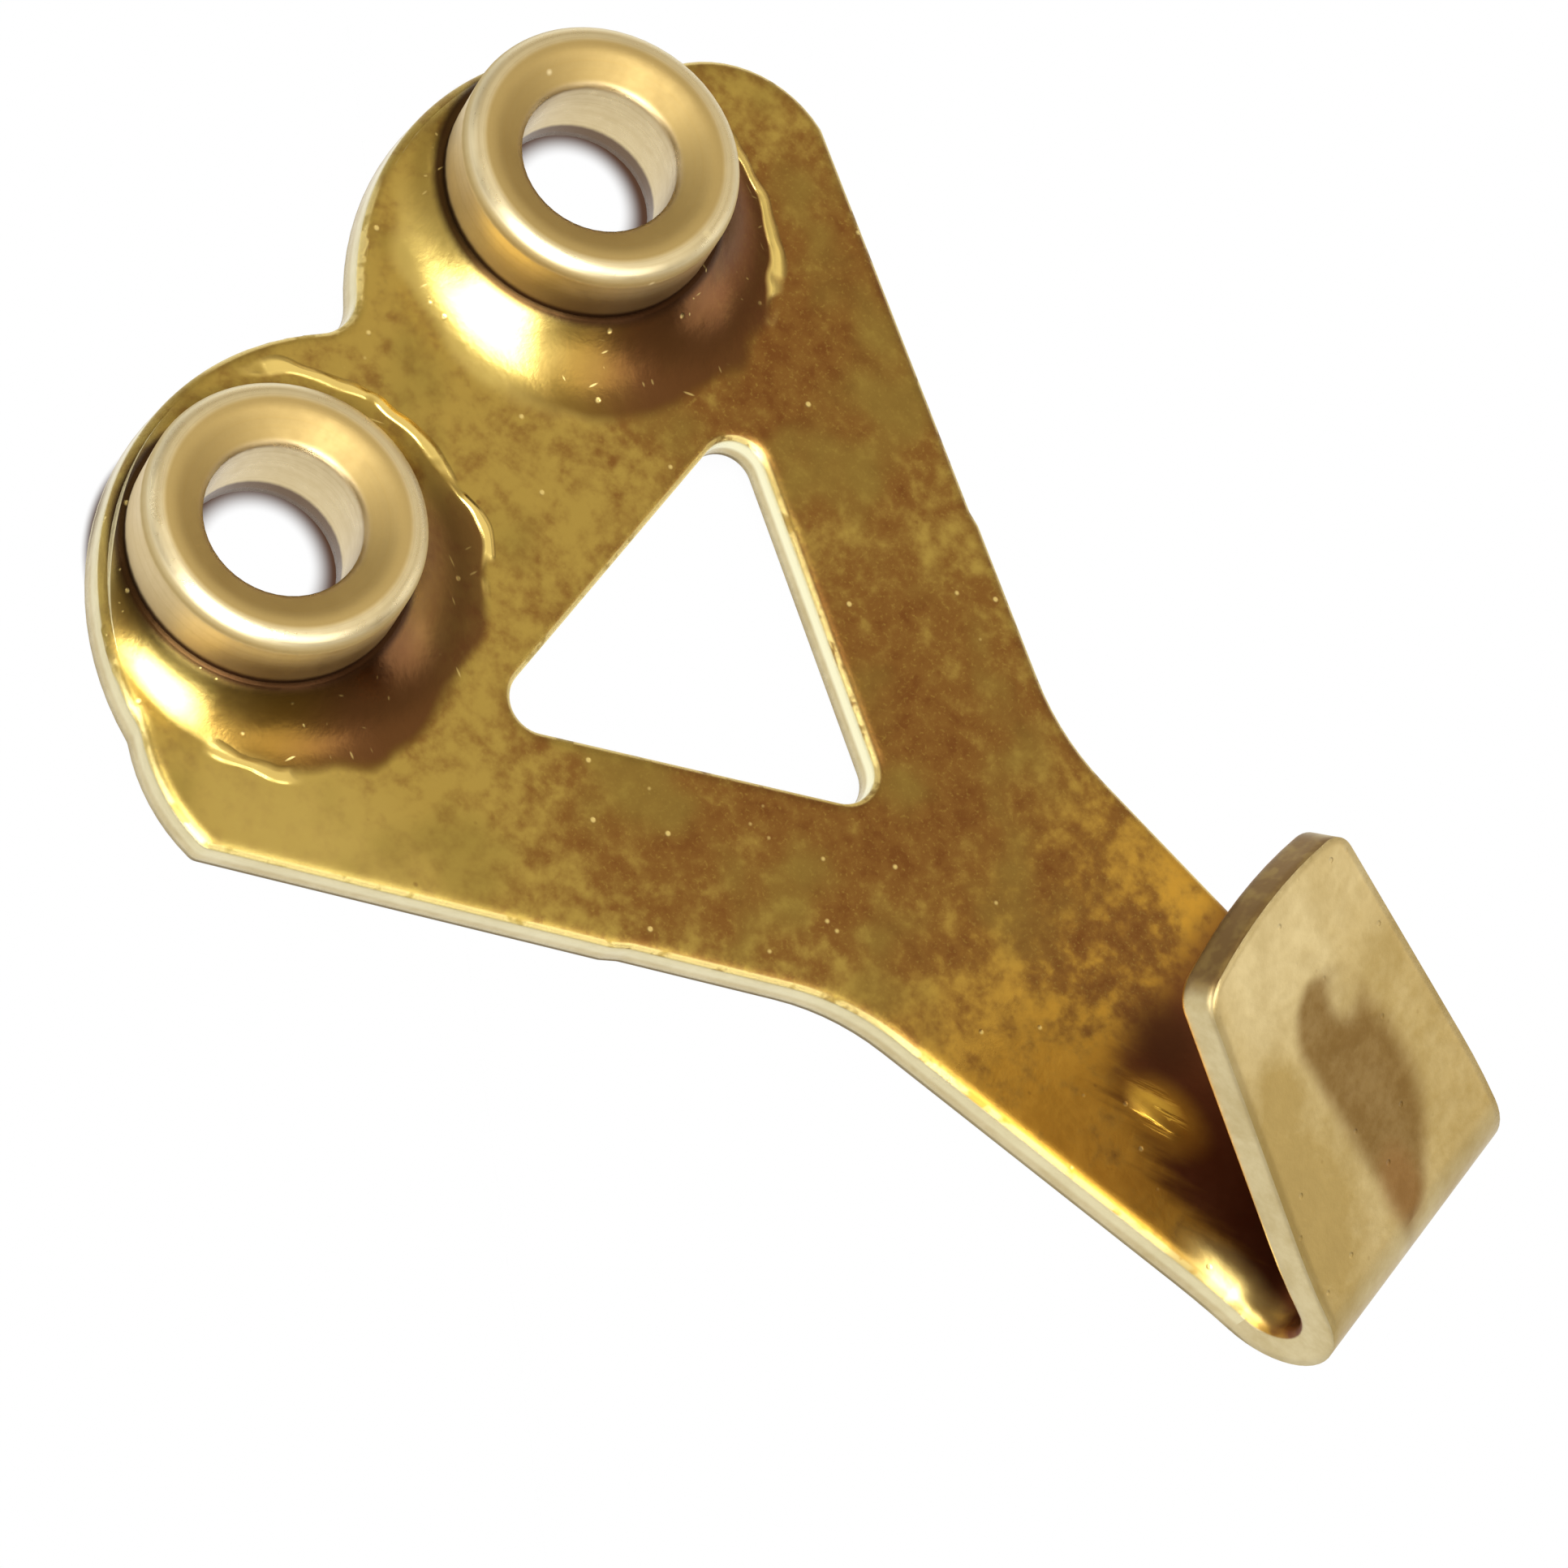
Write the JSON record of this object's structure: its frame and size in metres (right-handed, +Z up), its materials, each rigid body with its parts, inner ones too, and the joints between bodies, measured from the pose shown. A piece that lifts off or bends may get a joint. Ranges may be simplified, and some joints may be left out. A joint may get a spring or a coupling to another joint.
{
  "type": "picture hook",
  "caption": "Heart-shaped stamped brass plate with a triangular window and a folded hook below, carrying raised nail bushings, for hanging a framed picture on a wall.",
  "frame": {"origin": "on the plate's flat back, midway between the nail bushings", "axes": "+Y into the wall, +Z up the wall, +X to the right as seen from the room"},
  "size_m": [0.0284, 0.0102, 0.0385],
  "materials": {
    "plate_brass": "bright-dipped sheet, lightly tarnished",
    "bushing_brass": "satin turned"
  },
  "bodies": {
    "root": {"hook_plate": "plate_brass", "nail_bushing_left": "bushing_brass", "nail_bushing_right": "bushing_brass"}
  },
  "joints": []
}
